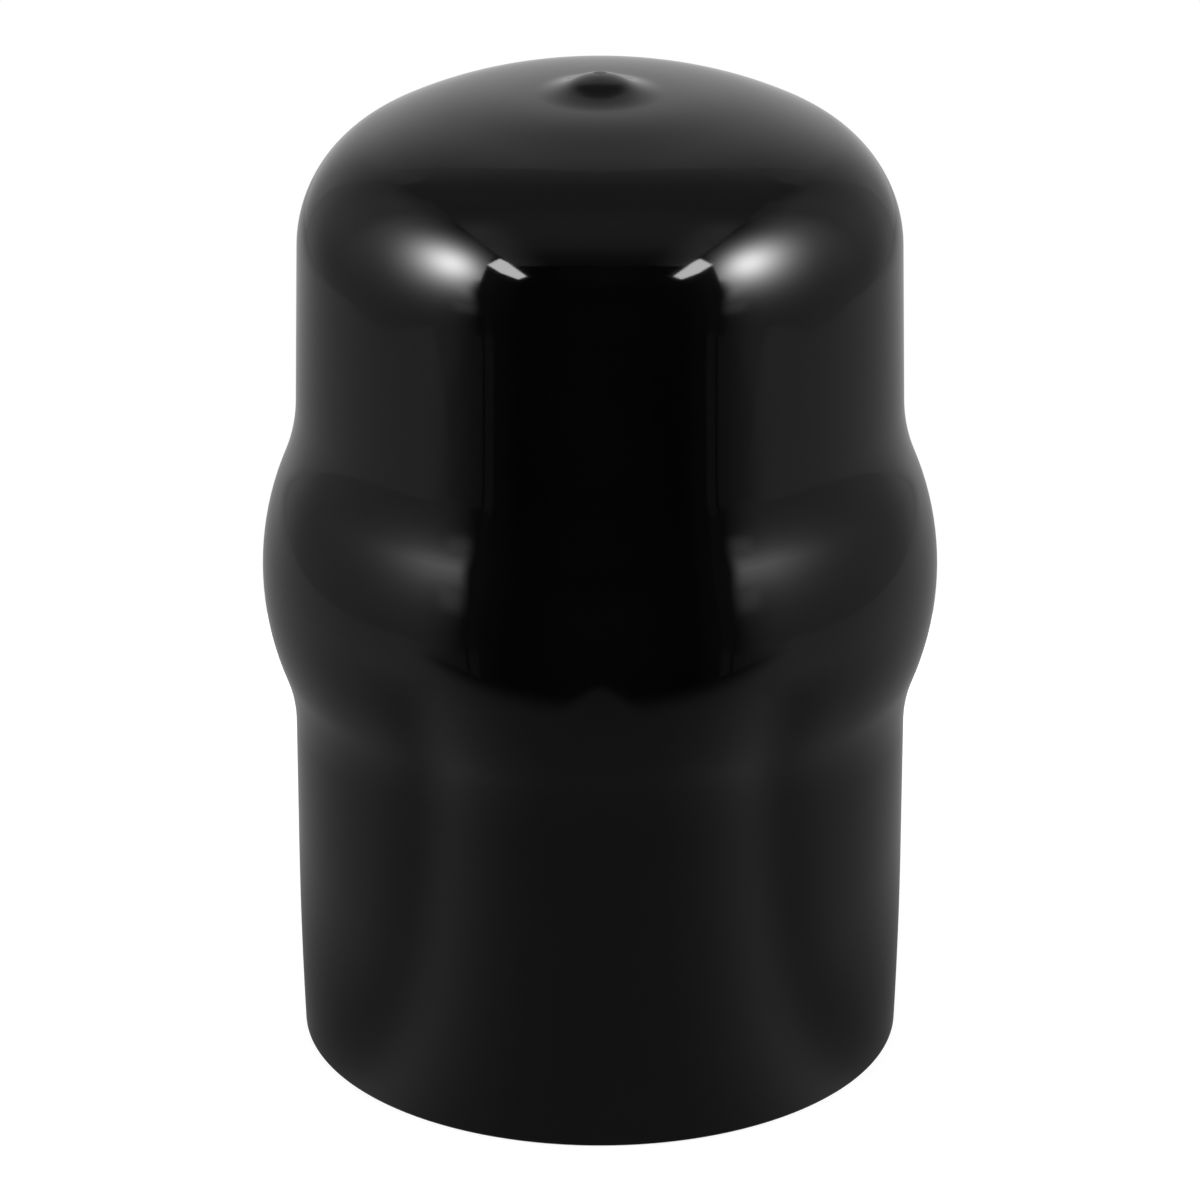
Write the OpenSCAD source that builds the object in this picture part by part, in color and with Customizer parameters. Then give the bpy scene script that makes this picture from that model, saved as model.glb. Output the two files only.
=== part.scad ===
// Soft tow ball cover: one dipped cap that is pushed down over a tow ball.
// It stands on its open rim, +Z runs up its axis, and the rim is at z = 0. All lengths are millimetres.

/* [Ball seat] */
// Diameter of the ball that the cover is pushed over
ball_d = 50.8; // [49:0.1:52]
// Height of the ball's centre above the rim when the cover is seated
ball_z = 41.7; // [40:0.1:44]
// Gap between the ball and the pocket wall at the ball's centre height
ball_gap = 0.3; // [0:0.05:0.6]
// Radius of the outer curve that wraps the ball, seen in a section
bulge_arc = 23.5; // [22:0.1:25]

/* [Wall] */
// Wall of the skirt, the bulge and the barrel
wall = 2.4; // [1.8:0.1:2.8]
// Thicker wall at the crown, where the dipped skin pools
crown_wall = 3.0; // [2.4:0.1:4]

/* [Skirt] */
// Bore of the straight skirt below the ball
skirt_bore = 46.3; // [45.6:0.1:47]
// Radius of the hollow curve between the skirt and the bulge
low_fillet = 15.2; // [12:0.1:18]
// Height over which the skirt's outside draws in towards the rim
draw_h = 16; // [10:0.5:20]
// Radius of the very flat curve that draws it in
draw_r = 430; // [300:10:600]
// Rounding of the rim's outer edge
rim_round = 0.25; // [0.15:0.05:0.5]

/* [Barrel and crown] */
// Overall height to the crown, without the drip nub
height = 83.1; // [81:0.1:86]
// Barrel diameter, measured on its taper at the ball's centre height
barrel_d = 50.85; // [50:0.05:51.4]
// Taper of the barrel on each side, in degrees
barrel_taper = 1.33; // [0.8:0.01:2]
// Radius of the hollow curve between the bulge and the barrel
up_fillet = 16.2; // [13:0.1:19]
// Radius of the rounded shoulder
shoulder_r = 10.65; // [9:0.05:12]
// Radius of the crown's curve, seen in a section
crown_r = 33.6; // [31:0.1:37]
// Radius of the small flat land in the middle of the crown
land_r = 3.3; // [2:0.1:3.8]

/* [Drip nub] */
// Radius at which the nub has run out into the crown
nub_foot_r = 5.4; // [5:0.1:5.8]
// Height of the nub over the crown
nub_h = 1.4; // [1.2:0.05:1.6]
// Radius of the hollow curve around the nub's foot
nub_fillet = 7.3; // [6.5:0.1:8]

/* [Hidden] */
$fn = 144;

black = "#17181a";

// A tangent joint is drawn with this small overlap, so that the two curves cross instead of only touching.
lap = 0.0002;
// How far a straight stretch runs on behind the hollow curve that leaves it
tuck = 1;
// How far a cutting shape reaches past the body
past = 3;

bulge_r = ball_d / 2 + ball_gap + wall;
bulge_c = [bulge_r - bulge_arc, ball_z];

skirt_r = skirt_bore / 2 + wall;
low_c = centre_at(bulge_c, bulge_arc + low_fillet, [1, 0], skirt_r + low_fillet, -1);

// The barrel's side is the line of points p with barrel_n * p = barrel_k.
barrel_n = [cos(barrel_taper), sin(barrel_taper)];
barrel_k = barrel_n * [barrel_d / 2, ball_z];
barrel_run = [-barrel_n.y, barrel_n.x];
up_c = centre_at(bulge_c, bulge_arc + up_fillet, barrel_n, barrel_k + up_fillet, 1);

crown_c = [land_r, height - crown_r];

// The draw-in of the skirt is one large arc that leaves the straight wall at draw_h.
draw_c = [skirt_r - draw_r, draw_h];
draw_reach = draw_r + 5 * lap;
rim_c = centre_at(draw_c, draw_reach - rim_round, [0, 1], rim_round, -1);

// The nub's foot curve touches the crown at nub_foot_r, and its cap radius follows from the height.
nub_turn = asin((nub_foot_r - land_r) / crown_r);
nub_c = crown_c + (crown_r + nub_fillet) * [sin(nub_turn), cos(nub_turn)];
nub_rise = nub_c.y - height - nub_h;
nub_cap = (nub_c.x * nub_c.x + nub_rise * nub_rise - nub_fillet * nub_fillet) / (2 * (nub_fillet - nub_rise));
nub_cap_c = [0, height + nub_h - nub_cap];

cover();

// The point at distance reach from c that lies on the line of points p with n * p = k, on the given side.
function centre_at(c, reach, n, k, side) =
    c + n * (k - n * c) + side * [-n.y, n.x] * sqrt(reach * reach - (k - n * c) * (k - n * c));

// The point that lies at the distance l from a, on the way to b
function toward(a, b, l) = a + (b - a) * l / norm(b - a);

// The point that lies from a against the direction n, where x has come down to x
function back_to(a, n, x) = a - n * (a.x - x) / n.x;

module disc(c, r) {
    translate(c)
        circle(r = r);
}

// Each of the next modules fills the section from the axis out to a surface.
// The surface lies inside the cover's outside by the length in, and in = 0 gives the outside itself.

module skirt_part(in) {
    translate([0, -past])
        square([skirt_r - in, low_c.y + tuck + past]);
}

// The bulge with the hollow curves under and over it
module waist_part(in) {
    difference() {
        polygon([
            [-bulge_r, low_c.y],
            low_c,
            bulge_c,
            up_c,
            back_to(up_c, barrel_n, -bulge_r)
        ]);
        disc(low_c, low_fillet + in + lap);
        disc(up_c, up_fillet + in + lap);
    }
    disc(bulge_c, bulge_arc - in);
}

module barrel_part(in, shoulder_c, round_r) {
    foot = up_c - barrel_n * (up_fillet + in) - barrel_run * tuck;
    top = shoulder_c + barrel_n * round_r;
    polygon([
        [0, foot.y],
        foot,
        top,
        shoulder_c,
        [0, shoulder_c.y]
    ]);
    disc(shoulder_c, round_r + lap);
}

module crown_part(in, shoulder_c) {
    intersection() {
        disc(crown_c, crown_r - in);
        polygon([
            [0, crown_c.y],
            crown_c,
            toward(crown_c, shoulder_c, crown_r + past),
            [land_r, height + past],
            [0, height + past]
        ]);
    }
    translate([0, crown_c.y])
        square([land_r, crown_r - in - lap]);
}

// All four together: the surface lies inside by in on the sides, and by in_crown at the crown.
module filled(in, in_crown) {
    round_r = shoulder_r - in;
    reach = crown_r - in_crown - round_r;
    shoulder_c = centre_at(crown_c, reach, barrel_n, barrel_k - shoulder_r, 1);
    skirt_part(in);
    waist_part(in);
    barrel_part(in, shoulder_c, round_r);
    crown_part(in_crown, shoulder_c);
}

// Everything inside the drawn-in outside of the skirt, and all of the space above it
module draw_limit() {
    disc(draw_c, draw_reach);
    translate([0, draw_h])
        square([bulge_r + past, height]);
}

// The sliver that the rim's rounding takes off
module rim_corner() {
    side = toward(draw_c, rim_c, draw_reach + past);
    difference() {
        polygon([
            rim_c,
            [rim_c.x, -past],
            [side.x, -past],
            side
        ]);
        disc(rim_c, rim_round + lap);
    }
}

// The nub's round cap, and the hollow curve that runs it out into the crown
module nub_part() {
    disc(nub_cap_c, nub_cap);
    difference() {
        polygon([nub_c, nub_cap_c, crown_c]);
        disc(nub_c, nub_fillet + lap);
    }
}

module wall_section() {
    difference() {
        intersection() {
            union() {
                filled(0, 0);
                nub_part();
            }
            draw_limit();
            square([bulge_r + past, height + nub_h + past]);
        }
        filled(wall, crown_wall);
        rim_corner();
    }
}

module cover() {
    color(black)
        rotate_extrude($fn = 180)
            wall_section();
}
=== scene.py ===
# %% [markdown]
# # A soft cover for a tow ball, dipped in black vinyl
#
# The cover is one piece. A steel former in the shape of a tow ball and its neck is heated, dipped in
# liquid vinyl, pulled out slowly and baked, and then the skin is rolled off and trimmed straight
# across its rim. What the photograph shows is that skin: a wide skirt, a bulge that snaps over the
# ball, a barrel that tapers a little, a domed crown, and the small nub where the last drop hung.
#
# The lesson has three parts: the section is drawn and spun into the skin, the skin gets its finishes,
# and a small studio is built round it, because black gloss looks like whatever it mirrors.

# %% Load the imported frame
import math

import bmesh
import bpy
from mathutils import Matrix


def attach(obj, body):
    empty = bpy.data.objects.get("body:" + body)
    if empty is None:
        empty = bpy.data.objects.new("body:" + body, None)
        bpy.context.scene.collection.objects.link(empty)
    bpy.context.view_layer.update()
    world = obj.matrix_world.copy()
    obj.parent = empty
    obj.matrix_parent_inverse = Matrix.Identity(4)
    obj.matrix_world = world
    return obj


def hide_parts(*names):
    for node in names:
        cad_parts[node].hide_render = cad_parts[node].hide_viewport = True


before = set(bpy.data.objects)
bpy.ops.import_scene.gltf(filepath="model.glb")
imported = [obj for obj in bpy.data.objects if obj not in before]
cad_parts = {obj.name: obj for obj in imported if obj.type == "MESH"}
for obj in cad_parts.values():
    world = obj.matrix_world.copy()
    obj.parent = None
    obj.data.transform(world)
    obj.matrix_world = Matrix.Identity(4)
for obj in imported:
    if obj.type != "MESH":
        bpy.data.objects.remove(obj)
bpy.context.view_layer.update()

# %% [markdown]
# ## The sizes of the section
#
# A turned form is described by its section, the curve that a saw cut through the axis would show.
# Every length here is the one that the CAD part is built from, so the two agree to a few thousandths
# of a millimetre. Only the nub is a hair taller, as its mirror image in the photograph asks for.
# Points of the section are pairs: the distance from the axis, then the height.

# %% Name the sizes of the section, in millimetres
BALL_R = 25.4
BALL_Z = 41.7
BALL_GAP = 0.3
WALL = 2.4
CROWN_WALL = 3.0
BULGE_ARC = 23.5
BORE_R = 23.15
LOW_FILLET = 15.2
DRAW_H = 16.0
DRAW_R = 430.0
RIM_ROUND = 0.25
HEIGHT = 83.1
BARREL_R = 25.425
TAPER = math.radians(1.33)
UP_FILLET = 16.2
SHOULDER_R = 10.65
CROWN_R = 33.6
LAND_R = 3.3
NUB_FOOT_R = 5.4
NUB_H = 1.45
NUB_FILLET = 7.3
NUB_OFF = 1.1
NUB_SPREAD = 8.0
MM = 0.001

bulge_c = (BALL_R + BALL_GAP + WALL - BULGE_ARC, BALL_Z)
skirt_r = BORE_R + WALL
crown_c = (LAND_R, HEIGHT - CROWN_R)


def beside(centre, reach, normal, level, side):
    """The point at a distance from a centre that lies on the line of points p with normal . p = level."""
    off = level - normal[0] * centre[0] - normal[1] * centre[1]
    along = side * math.sqrt(reach * reach - off * off)
    return (
        centre[0] + normal[0] * off - normal[1] * along,
        centre[1] + normal[1] * off + normal[0] * along,
    )


def toward(start, end, length):
    """The point that lies a length from the start, on the way to the end."""
    share = length / math.dist(start, end)
    return (start[0] + (end[0] - start[0]) * share, start[1] + (end[1] - start[1]) * share)


barrel_n = (math.cos(TAPER), math.sin(TAPER))
barrel_k = barrel_n[0] * BARREL_R + barrel_n[1] * BALL_Z
low_c = beside(bulge_c, BULGE_ARC + LOW_FILLET, (1, 0), skirt_r + LOW_FILLET, -1)
up_c = beside(bulge_c, BULGE_ARC + UP_FILLET, barrel_n, barrel_k + UP_FILLET, 1)
draw_c = (skirt_r - DRAW_R, DRAW_H)
rim_c = beside(draw_c, DRAW_R - RIM_ROUND, (0, 1), RIM_ROUND, -1)

nub_turn = math.asin((NUB_FOOT_R - LAND_R) / CROWN_R)
nub_c = (
    crown_c[0] + (CROWN_R + NUB_FILLET) * math.sin(nub_turn),
    crown_c[1] + (CROWN_R + NUB_FILLET) * math.cos(nub_turn),
)
nub_rise = nub_c[1] - HEIGHT - NUB_H
nub_cap = (nub_c[0] ** 2 + nub_rise**2 - NUB_FILLET**2) / (2 * (NUB_FILLET - nub_rise))
nub_cap_c = (0.0, HEIGHT + NUB_H - nub_cap)
print("skirt", round(skirt_r, 2), "bulge", BALL_R + BALL_GAP + WALL, "nub cap", round(nub_cap, 3))

# %% [markdown]
# ## Drawing the section with one vertex
#
# The section could be a curve object or a list of numbers, but the plainest way by hand is a pen: one
# vertex, pulled along by Extrude for a straight stretch and turned by Spin for an arc. Spin needs the
# arc's centre and angle, which are the sizes above, so every joint of two arcs stays smooth. A
# straight stretch is drawn in short steps, because the shading near its ends is averaged with the
# arc's, and on black gloss a long quad would show that as a smear.

# %% Put down the pen: a small plane merged to one vertex
def deselect():
    bpy.ops.object.select_all(action="DESELECT")


deselect()
bpy.ops.mesh.primitive_plane_add(size=0.01, location=(0, 0, 0))
cover = bpy.context.object
cover.name = "dipped_cover"
bpy.ops.object.mode_set(mode="EDIT")
bpy.ops.mesh.select_mode(type="VERT")
bpy.ops.mesh.select_all(action="SELECT")
bpy.ops.mesh.merge(type="CENTER")
bpy.ops.transform.translate(value=(BORE_R * MM, 0, 0))


# %% Find the pen, and give it its two strokes
def pen():
    """Where the selected end vertex is, in millimetres from the axis and up."""
    tip = next(v for v in bmesh.from_edit_mesh(cover.data).verts if v.select)
    return tip.co.x / MM, tip.co.z / MM


def line_to(point, step):
    """Extrudes the pen to a point in equal pieces of about the step's length."""
    start = pen()
    pieces = max(1, round(math.dist(start, point) / step))
    move = [(b - a) / pieces * MM for a, b in zip(start, point)]
    for _ in range(pieces):
        bpy.ops.mesh.extrude_region_move(TRANSFORM_OT_translate={"value": (move[0], 0, move[1])})


def arc_to(point, centre, step_deg):
    """Spins the pen about a centre until it faces a point, in steps of about step_deg."""
    start = pen()
    a0 = math.atan2(start[1] - centre[1], start[0] - centre[0])
    a1 = math.atan2(point[1] - centre[1], point[0] - centre[0])
    turn = (a1 - a0 + math.pi) % (2 * math.pi) - math.pi
    bpy.ops.mesh.spin(
        steps=max(1, round(abs(math.degrees(turn)) / step_deg)),
        dupli=False,
        angle=abs(turn),
        center=(centre[0] * MM, 0, centre[1] * MM),
        axis=(0, math.copysign(1, turn), 0),
    )


print("the pen starts", round(pen()[0], 2), "mm from the axis")

# %% [markdown]
# The outside is drawn from the rim up: the rim's trimmed edge, the skirt that draws in a hair towards
# the rim, the hollow under the bulge, the bulge, the hollow over it, the tapered barrel, the shoulder,
# the crown and the nub. The last value of each call is its step, in millimetres along a line and in
# degrees round an arc. A larger arc gets a smaller angle, so that all faces are about as long.

# %% Draw the outside of the section, from the rim to the nub
OUT_STEP = 1.4
OUT_TURN = 2.2
line_to((rim_c[0], 0.0), 0.4)
arc_to((rim_c[0] + RIM_ROUND, rim_c[1]), rim_c, 12)
arc_to((skirt_r, DRAW_H), draw_c, 0.22)
line_to((skirt_r, low_c[1]), OUT_STEP)
arc_to(bulge_c, low_c, OUT_TURN)
arc_to(up_c, bulge_c, OUT_TURN)
arc_to((up_c[0] - barrel_n[0], up_c[1] - barrel_n[1]), up_c, OUT_TURN)


def shoulder_centre(inset, crown_inset):
    """Where the shoulder's arc touches both the barrel's wall and the crown, inset by a wall."""
    reach = CROWN_R - crown_inset - (SHOULDER_R - inset)
    return beside(crown_c, reach, barrel_n, barrel_k - SHOULDER_R, 1)


shoulder_c = shoulder_centre(0, 0)
line_to((shoulder_c[0] + barrel_n[0] * SHOULDER_R, shoulder_c[1] + barrel_n[1] * SHOULDER_R), OUT_STEP)
arc_to(toward(crown_c, shoulder_c, CROWN_R), shoulder_c, OUT_TURN)
arc_to(nub_c, crown_c, 1.8)
arc_to(nub_cap_c, nub_c, OUT_TURN)
arc_to((0.0, HEIGHT + NUB_H), nub_cap_c, 2.6)
print("the outside ends at", [round(v, 4) for v in pen()])

# %% [markdown]
# The inside is the former's shape: the same curves, nearer the axis by the wall. It is drawn on from
# the rim, so the pen goes back there. The trimmed edge has a very small round on both sides, as a
# blade leaves it, and a mirror-like highlight runs along it.

# %% Draw the inside, from the rim's inner edge to the middle of the pocket
INNER_ROUND = 0.12
IN_STEP = 1.6
IN_TURN = 2.6
bpy.ops.mesh.select_all(action="DESELECT")
section = bmesh.from_edit_mesh(cover.data)
first = min(section.verts, key=lambda v: (v.co.x - BORE_R * MM) ** 2 + v.co.z**2)
first.select = True
section.select_flush_mode()
bpy.ops.transform.translate(value=(INNER_ROUND * MM, 0, 0))
arc_to((BORE_R, INNER_ROUND), (BORE_R + INNER_ROUND, INNER_ROUND), 18)
line_to((BORE_R, low_c[1]), IN_STEP)
arc_to(bulge_c, low_c, IN_TURN)
arc_to(up_c, bulge_c, IN_TURN)
arc_to((up_c[0] - barrel_n[0], up_c[1] - barrel_n[1]), up_c, IN_TURN)
pocket_c = shoulder_centre(WALL, CROWN_WALL)
pocket_r = SHOULDER_R - WALL
line_to((pocket_c[0] + barrel_n[0] * pocket_r, pocket_c[1] + barrel_n[1] * pocket_r), IN_STEP)
arc_to(toward(crown_c, pocket_c, CROWN_R - CROWN_WALL), pocket_c, 3)
arc_to((LAND_R, HEIGHT), crown_c, 2.2)
line_to((0.0, HEIGHT - CROWN_WALL), 0.8)
print("the inside ends at", [round(v, 4) for v in pen()], "with", len(section.verts), "points")

# %% [markdown]
# ## Spinning the section into the skin
#
# One full Spin about the upright axis makes the whole skin, inside and out, as one closed shell. The
# last copy of the section falls on the first, and on the axis all copies meet, so doubles are merged
# before the normals are turned outward. At 240 steps the outline stays within about a thirtieth of a
# pixel of a true circle, and the mirror images bend evenly.

# %% Spin, merge and smooth
STEPS = 240
bpy.ops.mesh.select_all(action="SELECT")
bpy.ops.mesh.spin(steps=STEPS, dupli=False, angle=2 * math.pi, center=(0, 0, 0), axis=(0, 0, 1))
bpy.ops.mesh.select_all(action="SELECT")
bpy.ops.mesh.remove_doubles(threshold=0.002 * MM)
bpy.ops.mesh.select_all(action="SELECT")
bpy.ops.mesh.normals_make_consistent(inside=False)
print(len(bmesh.from_edit_mesh(cover.data).verts), "vertices in the skin")

# %% [markdown]
# In the photograph the nub lies about a millimetre nearer the camera than the axis, as a last drop
# would that hung a little askew. It could be modelled off centre from the start, but then the skin
# could not be spun in one go. So the nub's vertices are moved together afterwards, and proportional
# editing spreads the move softly over the crown, which keeps the curve smooth.

# %% Move the nub off the axis
bpy.ops.mesh.select_all(action="DESELECT")
skin_mesh = bmesh.from_edit_mesh(cover.data)
for vertex in skin_mesh.verts:
    away = math.hypot(vertex.co.x, vertex.co.y)
    vertex.select = away < (NUB_FOOT_R + 0.1) * MM and vertex.co.z > (HEIGHT - 1) * MM
skin_mesh.select_flush_mode()
print(sum(v.select for v in skin_mesh.verts), "of", len(skin_mesh.verts), "vertices move with the nub")
bpy.ops.transform.translate(
    value=(0, -NUB_OFF * MM, 0),
    use_proportional_edit=True,
    proportional_edit_falloff="SMOOTH",
    proportional_size=NUB_SPREAD * MM,
)
bpy.ops.object.mode_set(mode="OBJECT")
bpy.ops.object.shade_smooth()
volume = bmesh.new()
volume.from_mesh(cover.data)
print(
    len(cover.data.polygons),
    "faces,",
    round(volume.calc_volume(signed=True) / MM**3 / 1000, 2),
    "cm3 of vinyl, open edges:",
    sum(not e.is_manifold for e in volume.edges),
)
volume.free()
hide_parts("cover")
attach(cover, "root")

# %% [markdown]
# ## Shader maths as plain sums
#
# A finish is a small calculation: take the place on the surface, make some noise from it, and mix. In
# the node editor that is a web of Math nodes. Here one class wraps a socket and answers to + - * and
# the rest, so a line of Python is a line of nodes.

# %% Wrap a socket so that sums on it add Math nodes
class Signal:
    """One socket of a node tree. Arithmetic on it adds the nodes that do the sum."""

    def __init__(self, tree, socket):
        self.tree = tree
        self.socket = socket

    def maths(self, operation, *values):
        found = add(self.tree, "ShaderNodeMath", {"operation": operation}, dict(enumerate(values)))
        return found[0]

    def __add__(self, other):
        return self.maths("ADD", self, other)

    def __sub__(self, other):
        return self.maths("SUBTRACT", self, other)

    def __rsub__(self, other):
        return self.maths("SUBTRACT", other, self)

    def __mul__(self, other):
        return self.maths("MULTIPLY", self, other)

    def __truediv__(self, other):
        return self.maths("DIVIDE", self, other)

    def __rtruediv__(self, other):
        return self.maths("DIVIDE", other, self)

    def __pow__(self, other):
        return self.maths("POWER", self, other)

    def size(self):
        """How far it is from 0, on either side."""
        return self.maths("ABSOLUTE", self)

    def between(self, low, high):
        """0 below low, 1 above high, and a smooth rise in between. With low above high it falls."""
        limits = {"Value": self, "From Min": low, "From Max": high}
        settings = {"interpolation_type": "SMOOTHSTEP"}
        return add(self.tree, "ShaderNodeMapRange", settings, limits)[0]

    def through(self, points):
        """A soft curve through pairs: where this signal has the first number, it gives the second."""
        low, high = points[0][0], points[-1][0]
        stops = [((at - low) / (high - low), grey(level)) for at, level in points]
        share = {"Fac": (self - low) / (high - low)}
        return add(self.tree, "ShaderNodeValToRGB", {"stops": stops, "curve": "B_SPLINE"}, share)[0]

    __radd__ = __add__
    __rmul__ = __mul__


# %% Add a node, with its settings and the values of its sockets
def add(tree, kind, settings=None, inputs=None):
    """Adds a node: its settings first, then the values or links of its sockets. Gives its outputs."""
    node = tree.nodes.new(kind)
    for name, value in (settings or {}).items():
        if name == "curve":
            node.color_ramp.interpolation = value
        elif name == "stops":
            for at, colour in value[len(node.color_ramp.elements):]:
                node.color_ramp.elements.new(at)
            for element, (at, colour) in zip(node.color_ramp.elements, value):
                element.position = at
                element.color = colour
        else:
            setattr(node, name, value)
    for name, value in (inputs or {}).items():
        if isinstance(value, Signal):
            tree.links.new(value.socket, node.inputs[name])
        else:
            node.inputs[name].default_value = value
    return [Signal(tree, socket) for socket in node.outputs if socket.enabled]


# %% Start a material, and ask it for the place on the piece
def blank(name):
    """A new material with nothing in it but its output."""
    made = bpy.data.materials.new(name)
    made.use_nodes = True
    made.node_tree.nodes.clear()
    return made


def place(tree):
    """The place on the piece, in metres in the frame, and the same as three signals."""
    where = add(tree, "ShaderNodeTexCoord")[3]
    return where, add(tree, "ShaderNodeSeparateXYZ", None, {"Vector": where})


def grey(level):
    return (level, level, level, 1.0)


# %% [markdown]
# The three finishes of the cover are built alike: noise, a Bump node that turns it into a relief, a
# colour that drifts between two tones, and one Principled shader. Each of these steps is a short
# helper, and the finishes differ in the numbers that they are given.

# %% Name the steps that every finish takes
VINYL_IOR = 1.5


def noise(tree, dimensions="3D", **inputs):
    """Soft random values about 0.5. The inputs are named as on the node."""
    return add(tree, "ShaderNodeTexNoise", {"noise_dimensions": dimensions}, inputs)[0]


def relief(tree, height):
    """The normal of a surface with this height, in metres."""
    return add(tree, "ShaderNodeBump", None, {"Strength": 1.0, "Distance": 1.0, "Height": height})[0]


def two_tone(tree, mask, dark, pale):
    """A colour that goes from dark to pale where the mask goes from 0.3 to 0.7."""
    stops = [(0.3, (*dark, 1)), (0.7, (*pale, 1))]
    return add(tree, "ShaderNodeValToRGB", {"stops": stops}, {"Fac": mask})[0]


def coat(tree, colour, roughness, normal):
    """The shader of the vinyl, and the material's output."""
    inputs = {"Base Color": colour, "Roughness": roughness, "IOR": VINYL_IOR, "Normal": normal}
    bsdf = add(tree, "ShaderNodeBsdfPrincipled", None, inputs)[0]
    add(tree, "ShaderNodeOutputMaterial", None, {"Surface": bsdf})
    print("a finish of", len(tree.nodes), "nodes")


# %% [markdown]
# ## The dipped skin
#
# The outside never touched a tool. It set in the oven as a liquid surface, so it is as glossy as
# paint, with the very slight long waves that a hanging film keeps and hardly any grain. The carbon
# black in it soaks up nearly all light that gets in, so its own colour is close to nothing and the
# mirror image does all the work. Noise at two scales drives the waves through a Bump node, and a third
# one lets the gloss drift a little, as handled vinyl does.

# %% Mix the outside finish
skin = blank("dipped_black_vinyl")
tree = skin.node_tree
where = place(tree)[0]
waves = noise(tree, Vector=where, Scale=55.0, Detail=1.0, Roughness=0.4)
peel = noise(tree, Vector=where, Scale=420.0, Detail=1.0, Roughness=0.5)
drift = noise(tree, Vector=where, Scale=90.0, Detail=4.0, Roughness=0.6)
coat(
    tree,
    two_tone(tree, drift, (0.0007, 0.0007, 0.0008), (0.0011, 0.0011, 0.0012)),
    0.045 + 0.03 * drift,
    relief(tree, waves * (0.012 * MM) + peel * (0.0006 * MM)),
)

# %% [markdown]
# ## The inside and the trimmed rim
#
# The inside is a print of the former. Its blasted steel leaves a fine matt grain and faint rings from
# turning. The rim is cut with a blade, so it is a shade lighter, and fine scratches run round it.

# %% Mix the inside finish
inside = blank("former_print")
tree = inside.node_tree
where, axes = place(tree)
grain = noise(tree, Vector=where, Scale=2600.0, Detail=3.0)
rings = noise(tree, "1D", W=axes[2], Scale=900.0, Detail=2.0)
coat(
    tree,
    two_tone(tree, grain, (0.006, 0.0062, 0.0066), (0.009, 0.0092, 0.0097)),
    0.34 + 0.12 * rings,
    relief(tree, grain * (0.006 * MM) + rings * (0.004 * MM)),
)

# %% Mix the rim finish
rim = blank("trimmed_rim")
tree = rim.node_tree
x, y, z = place(tree)[1]
scratches = noise(tree, "1D", W=(x * x + y * y) ** 0.5, Scale=9000.0, Detail=3.0)
coat(
    tree,
    two_tone(tree, scratches, (0.008, 0.0082, 0.0088), (0.014, 0.0143, 0.015)),
    0.42 + 0.1 * scratches,
    relief(tree, scratches * (0.004 * MM)),
)

# %% [markdown]
# Each face takes its finish from where it lies: a face on the flat of the rim is cut, a face that
# looks at the axis or down into the pocket is the inside, and the rest is skin.

# %% Give every face its finish
INSIDE_SLOT, RIM_SLOT = 1, 2
CUT_BELOW = 0.2
CEILING_ABOVE = 60.0
for finish in (skin, inside, rim):
    cover.data.materials.append(finish)
counts = [0, 0, 0]
for face in cover.data.polygons:
    centre, normal = face.center, face.normal
    inward = centre.x * normal.x + centre.y * normal.y < 0
    if normal.z < -0.95 and centre.z < CUT_BELOW * MM:
        face.material_index = RIM_SLOT
    elif inward or (normal.z < -0.5 and centre.z > CEILING_ABOVE * MM):
        face.material_index = INSIDE_SLOT
    counts[face.material_index] += 1
print("faces of skin, inside and rim:", counts)

# %% [markdown]
# ## The camera
#
# The outline of a turned form seen from above gives its camera away: how open the rim's ellipse is
# gives the tilt, and how much the near parts swell gives the distance. Fitting both to the
# photograph's outline gave a long lens about half a metre away, looking down by 22.5 degrees.

# %% Place the camera
LOOK_DOWN = 22.546
FOCAL = 181.49
CAMERA_Y, CAMERA_Z = -0.467547, 0.2323
lens = bpy.data.cameras.new("long_lens")
lens.sensor_width = 36.0
lens.lens = FOCAL
camera = bpy.data.objects.new("long_lens", lens)
camera.location = (0.0, CAMERA_Y, CAMERA_Z)
camera.rotation_euler = (math.radians(90 - LOOK_DOWN), 0.0, 0.0)
bpy.context.collection.objects.link(camera)
bpy.context.scene.camera = camera
print("a", FOCAL, "mm lens, looking down by", LOOK_DOWN, "degrees")

# %% [markdown]
# ## The studio
#
# Black gloss shows no colour of its own, only the studio. The mirror images in the photograph give the
# set away: a table 46 cm wide with a sheet of diffusion cloth upright on its left and right edge and a
# lamp behind each, a pale arched backdrop, dark cloth in front, and a dim scrim overhead. Each is
# modelled as a flat sheet that carries its own light, worked out from the place on it, and only the
# cover sees it.

# %% Make sheets that carry their own light
def glow(name, build, window):
    """A stage material whose brightness build() works out from the place on the sheet, in metres.

    Where window() is 1, what stands behind the sheet shines through it too.
    """
    made = blank(name)
    tree = made.node_tree
    axes = place(tree)[1]
    light = add(tree, "ShaderNodeEmission", None, {"Color": grey(1), "Strength": build(*axes)})[0]
    if window:
        clear = add(tree, "ShaderNodeBsdfTransparent")[0]
        clear = add(tree, "ShaderNodeMixShader", None, {0: window(*axes), 2: clear})[0]
        light = add(tree, "ShaderNodeAddShader", None, {0: light, 1: clear})[0]
    add(tree, "ShaderNodeOutputMaterial", None, {"Surface": light})
    return made


def sheet(name, outline, build, window=None):
    """A flat stage sheet with the given corners, in metres. It is mirrored, but the camera skips it."""
    deselect()
    bpy.ops.mesh.primitive_circle_add(vertices=len(outline), fill_type="NGON", location=(0, 0, 0))
    made = bpy.context.object
    made.name = name
    for vertex, corner in zip(made.data.vertices, outline):
        vertex.co = corner
    made.data.materials.append(glow(name, build, window))
    made.visible_camera = False


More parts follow.
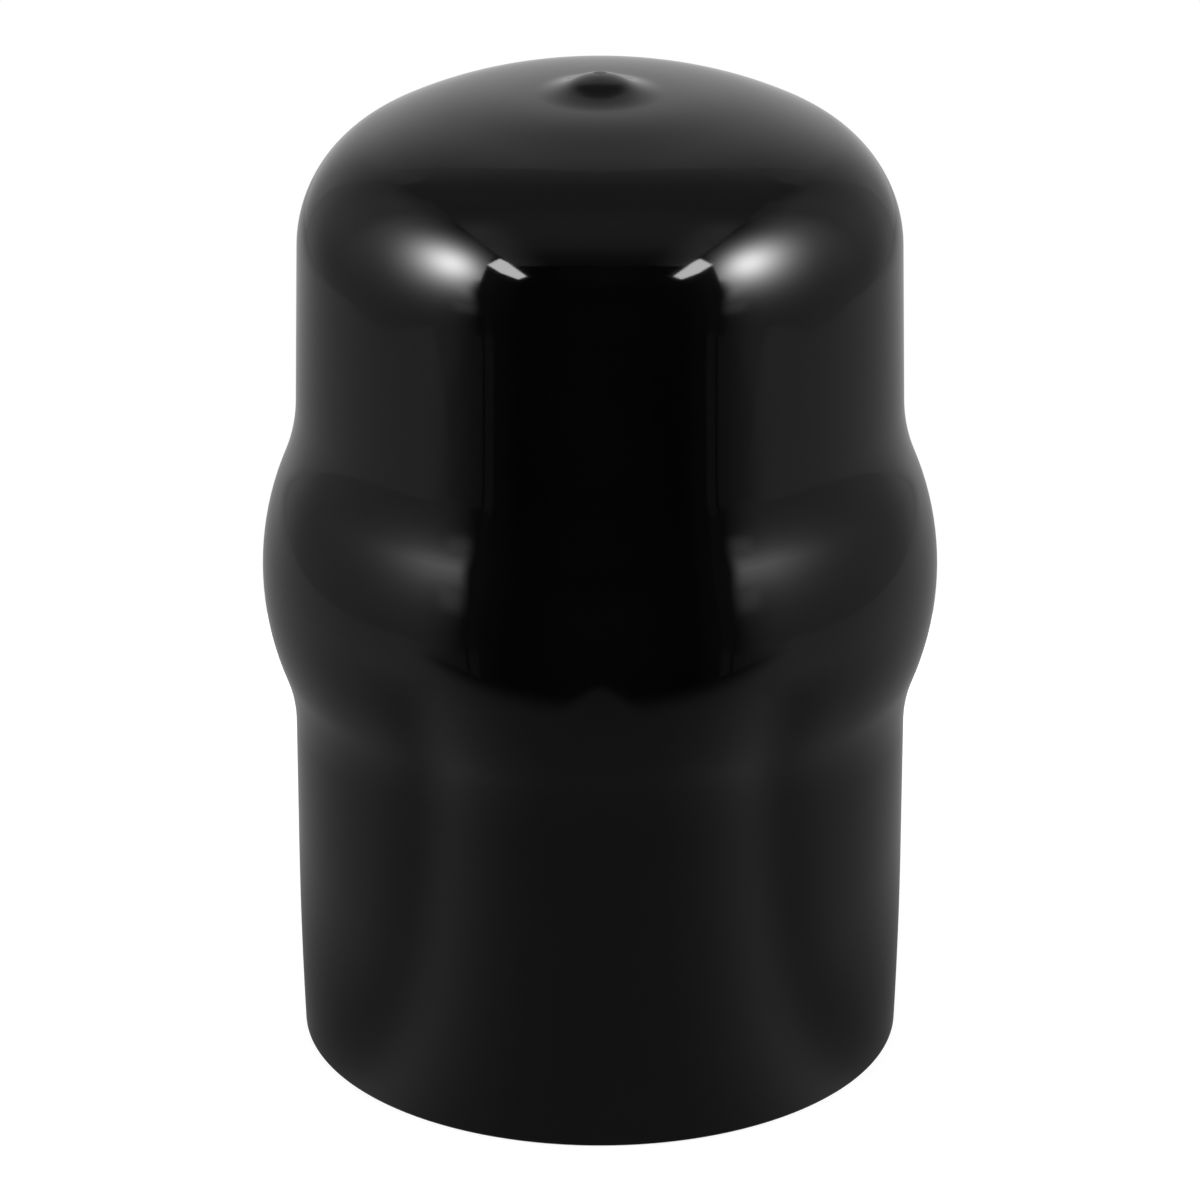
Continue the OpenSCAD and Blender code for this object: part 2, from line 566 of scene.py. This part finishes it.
# %% [markdown]
# The mirror images of the lamps sit differently on the shoulder and on the bulge, as the images of
# things at two distances do. So the lamp stands ten centimetres behind its cloth, and its glow is a
# round spot that falls off evenly and leans a little, which one short formula draws.

# %% Stand a lamp on each side
SIDE = 0.23
LAMP_SIDE = 0.33
LAMP_FRONT, LAMP_BACK, LAMP_LOW, LAMP_TOP = -0.6, 0.17, -0.3, 0.535
SPOT_Y, SPOT_Z = -0.1654, 0.2975
SPOT_WIDE, SPOT_HIGH = 0.2035, 0.1837
SPOT_LEVEL, SPOT_FALL = 18.9, 4.56
LEAN = -0.1443


def lamp_light(x, y, z):
    back, up = y - SPOT_Y, z - SPOT_Z
    wide = SPOT_WIDE + 0.08 * y.between(-0.19, -0.26) * z.between(0.22, 0.18)
    along = (back * math.cos(LEAN) + up * math.sin(LEAN)) / wide
    across = (up * math.cos(LEAN) - back * math.sin(LEAN)) / SPOT_HIGH
    spot = SPOT_LEVEL / (1.0 + along * along + across * across) ** SPOT_FALL
    low = 0.25 * z.between(0.05, 0.09) * z.between(0.135, 0.105) * y.between(-0.22, -0.27)
    return spot * (z + 0.1445 * back).between(0.674, 0.462) + low


for x, word in ((-LAMP_SIDE, "left"), (LAMP_SIDE, "right")):
    sheet(
        "lamp_" + word,
        [
            (x, LAMP_FRONT, LAMP_LOW),
            (x, LAMP_BACK, LAMP_LOW),
            (x, LAMP_BACK, LAMP_TOP),
            (x, LAMP_FRONT, LAMP_TOP),
        ],
        lamp_light,
    )
print("each lamp is at most", SPOT_LEVEL, "times as bright as white")

# %% [markdown]
# In front of each lamp hangs the diffusion cloth. It glows faintly by itself and lets the lamp shine
# through, less and less towards its front edge, where it curls into the frame. The frame is dark, with
# a lath over the cloth and a valance under it. A bare strip of lamp light shows in front of the cloth,
# the sharp small leaf next to the soft highlight on the shoulder.

# %% Cut the diffusion cloth, the bare strip, the lath and the frame to fit each other
CLOTH_FRONT = [(-0.256, -0.02), (-0.256, 0.13), (-0.22, 0.2), (-0.199, 0.309)]
CLOTH = CLOTH_FRONT + [
    (-0.188, 0.395), (0.215, 0.395), (0.222, 0.25), (0.27, 0.126), (0.33, 0.0), (0.33, -0.02),
]
FRAME = CLOTH_FRONT + [
    (-0.259, 0.31), (-0.35, 0.335), (-0.385, 0.393), (-0.6, 0.393), (-0.6, -0.3), (-0.256, -0.3),
]
STRIP = [
    (-0.198, 0.309), (-0.212, 0.383), (-0.25, 0.393), (-0.385, 0.393), (-0.35, 0.335), (-0.259, 0.31),
]
LATH = [(-0.199, 0.309), (-0.212, 0.383), (-0.25, 0.393), (-0.188, 0.395)]
STRIP_LEVEL = 11.0
LATH_LEVEL = 0.12
print("the bare strip has", len(STRIP), "corners and is", STRIP_LEVEL, "times as bright as white")


# %% Set how bright the cloth and the frame are, and where the lamp shows through
def cloth_light(x, y, z):
    inward = y - 0.141 * (z - 0.25)
    base = (0.04 + 0.2 * inward.between(-0.22, -0.1)) * (1.0 - 0.45 * z.between(0.28, 0.38))
    halo = 0.09 * z.between(0.04, 0.14) * y.between(-0.03, 0.05) * y.between(0.2, 0.1)
    hem = 0.12 * y.between(0.1, 0.25) * z.between(0.3, 0.08)
    top = 0.2 * z.between(0.355, 0.385) * y.between(0.0, -0.1)
    return base + halo + hem + top


def cloth_window(x, y, z):
    edge = y - 0.022 * z.between(0.1, 0.165) * z.between(0.235, 0.2)
    return edge.between(-0.253, -0.207) * y.between(0.1, 0.05) * z.between(0.385, 0.365)


def frame_light(x, y, z):
    edge = (0.02 + 0.032 * z.between(0.0, -0.03)) * y.between(-0.292, -0.283)
    return 0.008 + 0.02 * y.between(-0.42, -0.3) + edge


# %% Hang the sheets on both sides
for x, word in ((-SIDE, "left"), (SIDE, "right")):
    sheet("diffusion_" + word, [(x, y, z) for y, z in CLOTH], cloth_light, cloth_window)
    sheet("strip_" + word, [(x, y, z) for y, z in STRIP], lambda x, y, z: STRIP_LEVEL)
    sheet("frame_" + word, [(x, y, z) for y, z in FRAME], frame_light)
    sheet("lath_" + word, [(x, y, z) for y, z in LATH], lambda x, y, z: LATH_LEVEL)
    sheet(
        "valance_" + word,
        [(x, -0.25, -0.3), (x, -0.25, -0.02), (x, 0.33, -0.02), (x, 0.33, -0.3)],
        lambda x, y, z: 0.09 + 0.13 * y.between(-0.25, -0.12),
    )

# %% [markdown]
# The backdrop is an arch, and its upper edge is the straight line across the crown. It is brightest
# low down in the middle and falls off towards its sides and top, as one lamp on a wall does.

# %% Hang the backdrop
BACK = 0.33
ARCH = [
    (0.0, 0.675), (0.046, 0.657), (0.095, 0.619), (0.147, 0.568), (0.19, 0.489), (0.214, 0.387),
    (0.223, 0.292), (0.235, 0.189), (0.249, 0.08), (0.258, -0.024),
]
arch = [(x, BACK, z) for x, z in ARCH] + [(-x, BACK, z) for x, z in reversed(ARCH[1:])]


def backdrop_light(x, y, z):
    level = z.through([(-0.02, 0.62), (0.08, 0.66), (0.15, 0.7), (0.22, 0.63), (0.32, 0.54),
                       (0.42, 0.47), (0.56, 0.42), (0.64, 0.35), (0.68, 0.31)])
    return level * (1.0 - 0.36 * x.size().between(0.1, 0.24))


sheet("backdrop", arch, backdrop_light)
print("the backdrop is", round(2 * max(x for x, _, _ in arch), 3), "m wide")

# %% [markdown]
# Behind the backdrop the room is dim, and the cloth in front is the dark column down the middle of the
# cover. The scrim overhead is brighter behind, where light from the backdrop reaches it. Plain dim
# walls on the sides and under the table close the set into a box, so that the cover never mirrors a
# gap.

# %% Set how bright the room behind, the scrim and the dark cloth are
def room_light(x, y, z):
    level = z.through([(0.0, 0.46), (0.2, 0.44), (0.35, 0.39), (0.5, 0.33), (0.62, 0.28), (0.78, 0.24)])
    return level * (1.0 - 0.25 * x.size().between(0.4, 0.65))


def scrim_light(x, y, z):
    depth = y.through([(-0.6, 0.035), (-0.47, 0.055), (-0.38, 0.11), (-0.3, 0.165), (-0.2, 0.19),
                       (-0.08, 0.205), (0.02, 0.195), (0.12, 0.165), (0.2, 0.14), (0.6, 0.13)])
    glare = (y - 1.45 * x * x).through([(0.27, 0.0), (0.34, 0.06), (0.42, 0.15), (0.5, 0.19)])
    sides = 0.2 * x.size().between(0.24, 0.44) * y.between(0.12, -0.1)
    corners = 0.14 * x.size().between(0.38, 0.5) * y.between(-0.2, -0.4)
    return depth + glare + sides + corners


def dark_light(x, y, z):
    width = x.size().through([(0.0, 0.022), (0.18, 0.018), (0.26, 0.004), (0.38, 0.006), (0.46, 0.022),
                              (0.56, 0.045), (0.65, 0.075)])
    return width * z.through([(-0.2, 1.0), (0.2, 1.0), (0.3, 0.3), (0.4, 0.4), (0.55, 1.3), (0.78, 1.3)])


# %% Hang them, and close the box
FRONT, FAR, TOP, LOW = -0.6, 0.62, 0.78, -0.5
WIDE = 2.0
DIM_LEVEL = 0.2
sheet(
    "room_behind",
    [(-WIDE, FAR, LOW), (WIDE, FAR, LOW), (WIDE, FAR, TOP), (-WIDE, FAR, TOP)],
    room_light,
)
sheet(
    "scrim",
    [(-WIDE, FRONT, TOP), (WIDE, FRONT, TOP), (WIDE, FAR, TOP), (-WIDE, FAR, TOP)],
    scrim_light,
)
sheet(
    "dark_cloth",
    [(-WIDE, FRONT, LOW), (WIDE, FRONT, LOW), (WIDE, FRONT, TOP), (-WIDE, FRONT, TOP)],
    dark_light,
)
sheet(
    "under_the_table",
    [(-WIDE, FRONT, LOW), (WIDE, FRONT, LOW), (WIDE, FAR, LOW), (-WIDE, FAR, LOW)],
    lambda x, y, z: DIM_LEVEL,
)
for side, word in ((-WIDE, "left"), (WIDE, "right")):
    sheet(
        "room_" + word,
        [(side, FRONT, LOW), (side, FAR, LOW), (side, FAR, TOP), (side, FRONT, TOP)],
        lambda x, y, z: DIM_LEVEL,
    )
room = (2 * WIDE, FAR - FRONT, TOP - LOW)
print("the room's width, depth and height in metres:", [round(length, 2) for length in room])

# %% [markdown]
# The cover stands on a table, one more sheet that the camera skips. Its light is a painted reflection
# of the sheets, spread as a satin top would spread them: two soft bands that fan out from the cover,
# with a darker wedge between them towards the camera, and the skirt mirrors that. Close to the cover,
# at its sides and behind, a painted shadow darkens it, and towards its front edge, which has a small
# tongue in the middle, the painted light sinks into the dark.

# %% Lay the table, with its painted reflection and painted shadow
TABLE_FRONT = -0.118
TONGUE_HALF, TONGUE_REACH = 0.022, 0.042


def table_light(x, y, z):
    away = (x * x + y * y) ** 0.5
    facing = -1.0 * y / away
    # Painted reflection of the sheets in bands; close to the cover it dips at the sides as a painted
    # shadow.
    near = facing.through([(-1.0, 0.3), (-0.4, 0.26), (0.0, 0.225), (0.2, 0.235), (0.42, 0.17),
                           (0.54, 0.23), (0.66, 0.38), (0.78, 0.25), (0.92, 0.14), (1.0, 0.135)])
    far = facing.through([(-1.0, 0.3), (0.1, 0.3), (0.42, 0.34), (0.54, 0.32), (0.66, 0.28),
                          (0.73, 0.21), (0.8, 0.16), (0.89, 0.115), (1.0, 0.115)])
    # Painted shadow: the table's light is darker close to the cover, at its sides and behind.
    painted_contact_shadow = 1.0 - 0.45 * away.between(0.055, 0.028) * facing.between(0.6, 0.2)
    # Painted light: the table is brighter towards the back.
    behind = 0.16 * y.between(0.06, 0.24) * x.size().between(0.24, 0.12)
    level = far + away.between(0.13, 0.07) * (near * painted_contact_shadow - far) + behind
    # Painted shade: the table's light is darker towards its front edge and the tongue.
    edge = y - TABLE_FRONT + TONGUE_REACH * x.size().between(TONGUE_HALF, 0.0)
    return level * (1.0 - 0.8 * edge.between(0.036, 0.0) * x.size().between(0.2, 0.1))


TONGUE = [
    (-TONGUE_HALF, TABLE_FRONT), (-0.012, -0.137), (0.0, TABLE_FRONT - TONGUE_REACH), (0.012, -0.137),
    (TONGUE_HALF, TABLE_FRONT),
]
TABLE = [(-SIDE, TABLE_FRONT), *TONGUE, (SIDE, TABLE_FRONT), (SIDE, BACK), (-SIDE, BACK)]
sheet("painted_reflection_table", [(x, y, 0) for x, y in TABLE], table_light)
table = bpy.data.objects["painted_reflection_table"]
table.visible_diffuse = False
table.visible_shadow = False
print("the table is", 2 * SIDE, "m wide and", round(BACK - TABLE_FRONT, 3), "m deep")

# %% [markdown]
# What the camera sees is a pale floor, a hair under the table. White paint would be the simplest, but
# it would throw more light up at the cover than the room in the photograph does. So the paint is grey,
# and where a ray is seen, directly or in a mirror, the floor adds white of its own, a shade less of it
# close to the cover. The paint keeps the cover's soft shadow.

# %% Lay the pale floor
FLOOR_R = 0.095
FLOOR_PAINT = 0.25


def seen_ray(tree):
    """1 for a ray that the camera, a mirror image or glass sees, and 0 for a ray that gathers light."""
    paths = {s.socket.name: s for s in add(tree, "ShaderNodeLightPath")}
    return paths["Is Camera Ray"] + paths["Is Glossy Ray"] + paths["Is Transmission Ray"]


deselect()
bpy.ops.mesh.primitive_circle_add(vertices=96, radius=FLOOR_R, fill_type="NGON", location=(0, 0, 0))
floor = bpy.context.object
floor.name = "pale_floor"
for vertex in floor.data.vertices:
    vertex.co.z = -0.1 * MM
pale = blank("pale_floor")
tree = pale.node_tree
x, y, z = place(tree)[1]
seen = seen_ray(tree)
paint = add(tree, "ShaderNodeBsdfDiffuse", None, {"Color": grey(FLOOR_PAINT)})[0]
away = (x * x + y * y) ** 0.5
# Painted shadow: the white that the floor adds is painted a shade lower within a few centimetres of the
# cover.
glare = 0.85 + 0.15 * away.between(0.03, 0.09)
white = add(tree, "ShaderNodeEmission", None, {"Color": grey(1), "Strength": glare})[0]
both = add(tree, "ShaderNodeAddShader", None, {0: paint, 1: white})[0]
mixed = add(tree, "ShaderNodeMixShader", None, {0: seen, 1: paint, 2: both})[0]
add(tree, "ShaderNodeOutputMaterial", None, {"Surface": mixed})
floor.data.materials.append(pale)
print("the floor is", 2 * FLOOR_R, "m across")

# %% [markdown]
# The world shows behind everything that the camera sees, so it is white wherever it is seen. For rays
# that gather light it is kept soft. The sheets close the cover in, so little of that light gets to it,
# but it stays plain where a sheet is moved or taken away.

# %% Light the room
SOFT_LEVEL = 0.3
world = bpy.data.worlds.new("studio")
bpy.context.scene.world = world
world.use_nodes = True
world.node_tree.nodes.clear()
tree = world.node_tree
level = SOFT_LEVEL + (1.0 - SOFT_LEVEL) * seen_ray(tree)
sky = add(tree, "ShaderNodeBackground", None, {"Color": grey(1), "Strength": level})[0]
add(tree, "ShaderNodeOutputWorld", None, {"Surface": sky})
bpy.context.scene.view_settings.view_transform = "Standard"
print("the world's light where it is not seen:", SOFT_LEVEL)
